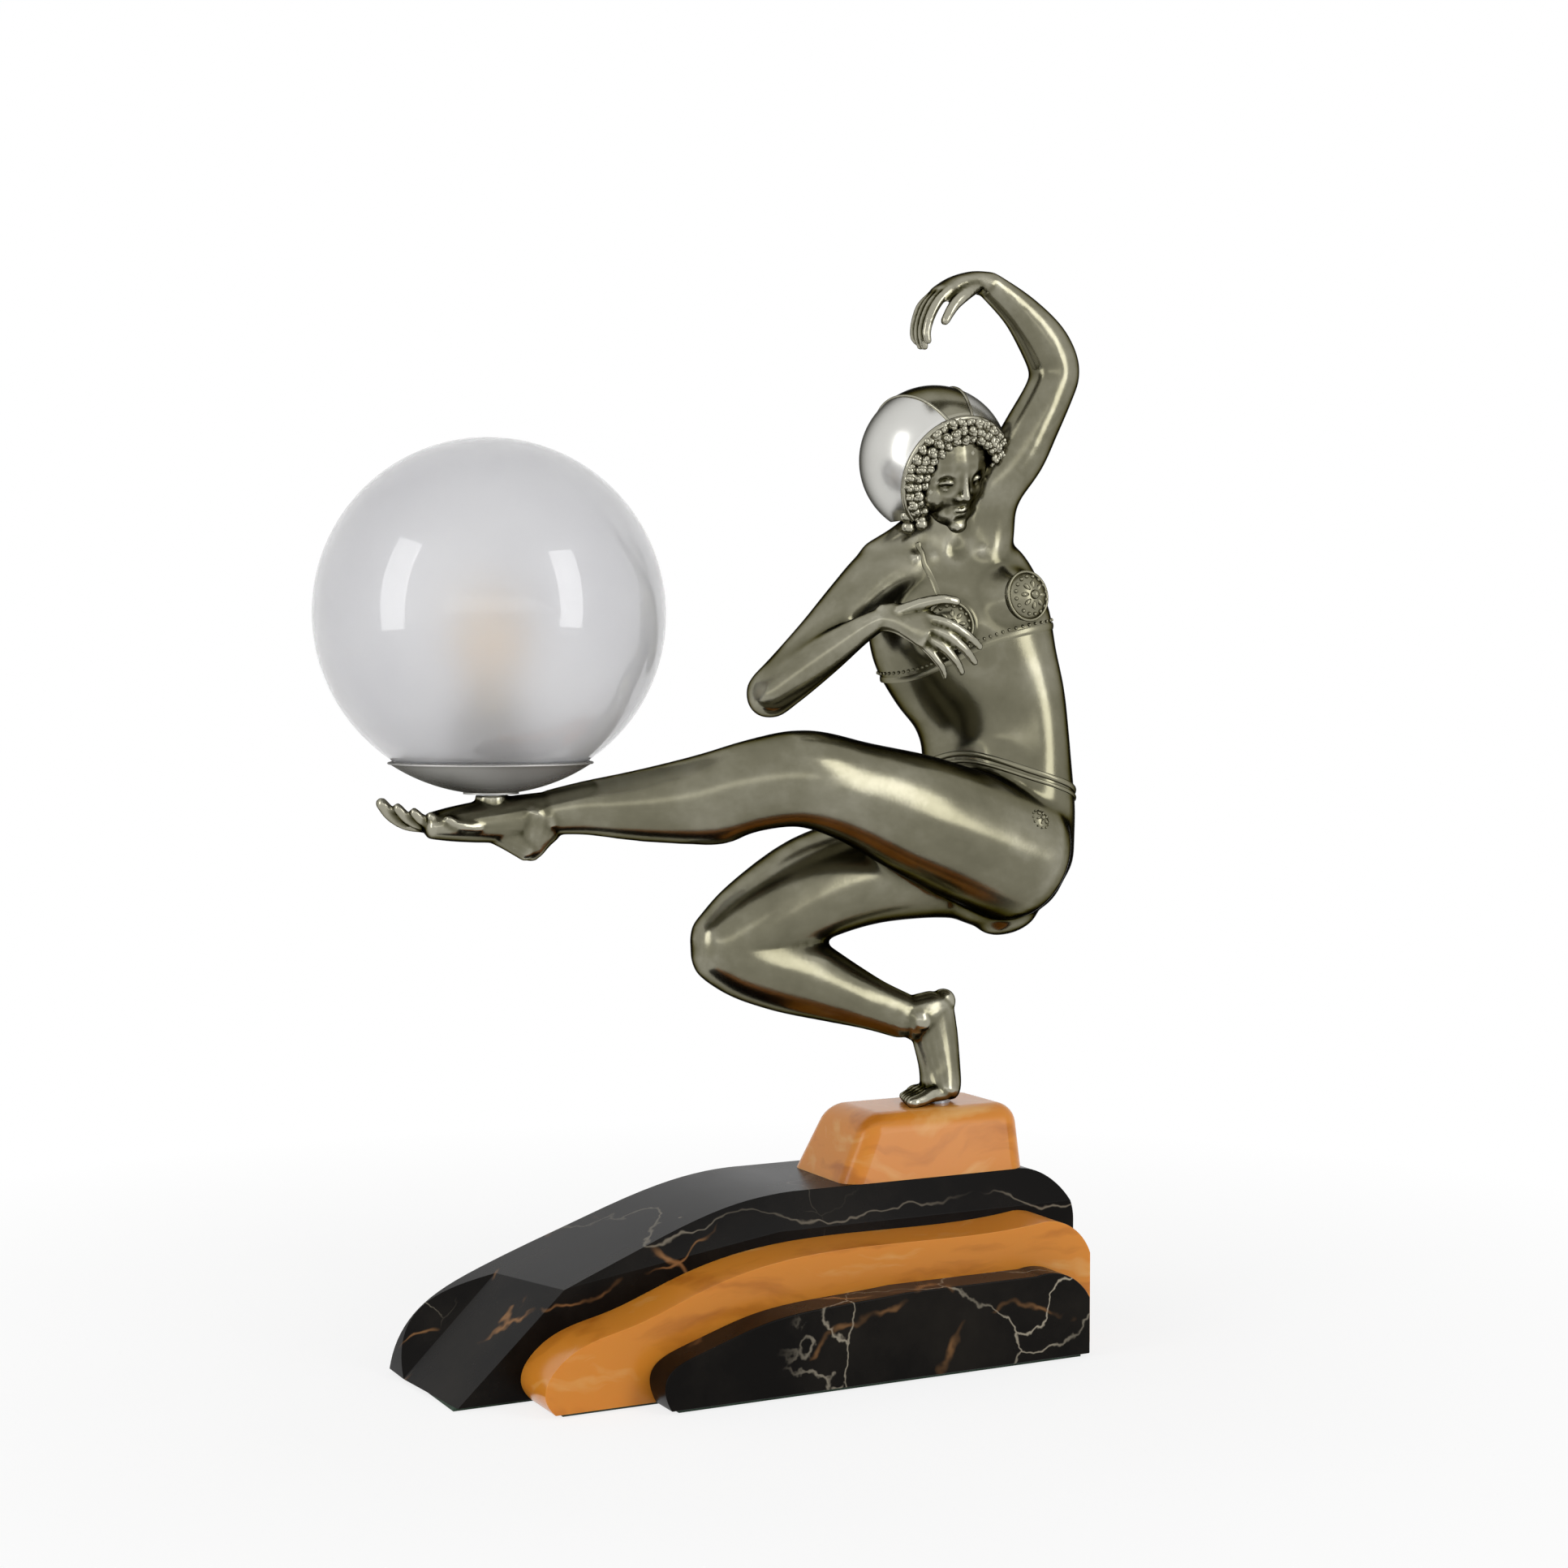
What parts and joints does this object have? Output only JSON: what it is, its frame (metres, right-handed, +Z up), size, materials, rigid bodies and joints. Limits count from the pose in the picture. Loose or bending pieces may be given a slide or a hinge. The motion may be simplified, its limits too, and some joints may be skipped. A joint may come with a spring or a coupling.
{
  "type": "figural table lamp",
  "caption": "Table lamp: a cast metal dancer on a stepped marble and onyx base holds a frosted glass globe on the raised foot. The globe lifts off and the bulb unscrews.",
  "frame": {"origin": "on the table under the middle of the base", "axes": "+X along the base towards the figure, +Y away from the viewer, +Z up"},
  "size_m": [0.2789, 0.1349, 0.3862],
  "materials": {
    "black_marble": "polished black marble with fine gold and white veins",
    "amber_onyx": "polished honey-amber onyx with faint bands",
    "cast_metal": "satin silvered patina over cast metal",
    "dark_metal": "aged metal, satin",
    "frosted_glass": "inside frosted, outside polished",
    "bulb_glass": "warm tinted glass",
    "stem_glass": "clear glass",
    "filament": "glowing wire",
    "steel": "zinc plated",
    "brass": "bright",
    "black_phenolic": "moulded phenolic",
    "ceramic": "unglazed",
    "felt": "green baize",
    "block_plastic": "moulded",
    "lead_sheath": "round sheathed lead",
    "clear_rubber": "clear silicone"
  },
  "bodies": {
    "lamp": {"back_slab": "black_marble", "front_slab": "black_marble", "onyx_slab": "amber_onyx", "plinth": "amber_onyx", "figure_hips": "cast_metal", "figure_torso": "cast_metal", "figure_head": "cast_metal", "left_upper_arm": "cast_metal", "left_forearm": "cast_metal", "left_hand": "cast_metal", "right_upper_arm": "cast_metal", "right_forearm": "cast_metal", "right_hand": "cast_metal", "left_thigh": "cast_metal", "left_shin": "cast_metal", "left_foot": "cast_metal", "right_thigh": "cast_metal", "right_shin": "cast_metal", "right_foot": "cast_metal", "gallery_dish": "dark_metal", "slab_dowels": "steel", "foot_stud": "steel", "stud_washer": "steel", "stud_nut": "steel", "holder_nipple": "steel", "gallery_nut": "steel", "terminal_screws": "steel", "screw_shell": "brass", "centre_contact": "brass", "earth_tag": "brass", "holder_cap": "black_phenolic", "holder_sleeve": "black_phenolic", "cable_bush": "black_phenolic", "holder_core": "ceramic", "base_felt": "felt", "terminal_block": "block_plastic", "internal_lead": "lead_sheath", "seat_ring": "clear_rubber"},
    "bulb_contact": {"bulb_tip": "brass"},
    "bulb": {"bulb_cap": "brass", "bulb_glass": "bulb_glass", "bulb_stem": "stem_glass", "bulb_filament": "filament"},
    "globe": {"globe": "frosted_glass"}
  },
  "joints": [
    {"name": "bulb_rise", "type": "slide", "parent": "lamp", "child": "bulb_contact", "axis": [0, 0, 1], "range_m": [0, 0.01128]},
    {"name": "bulb_turn", "type": "hinge", "parent": "bulb_contact", "child": "bulb", "pos_m": [-0.0815, 0.0289, 0.22], "axis": [0, 0, 1], "range_deg": [0, 1440]},
    {"name": "globe_lift", "type": "slide", "parent": "lamp", "child": "globe", "axis": [0, 0, 1], "range_m": [0, 0.085]}
  ],
  "couplings": [
    {"joint": "bulb_rise", "follows": "bulb_turn", "m_per_rad": 0.00044882}
  ]
}
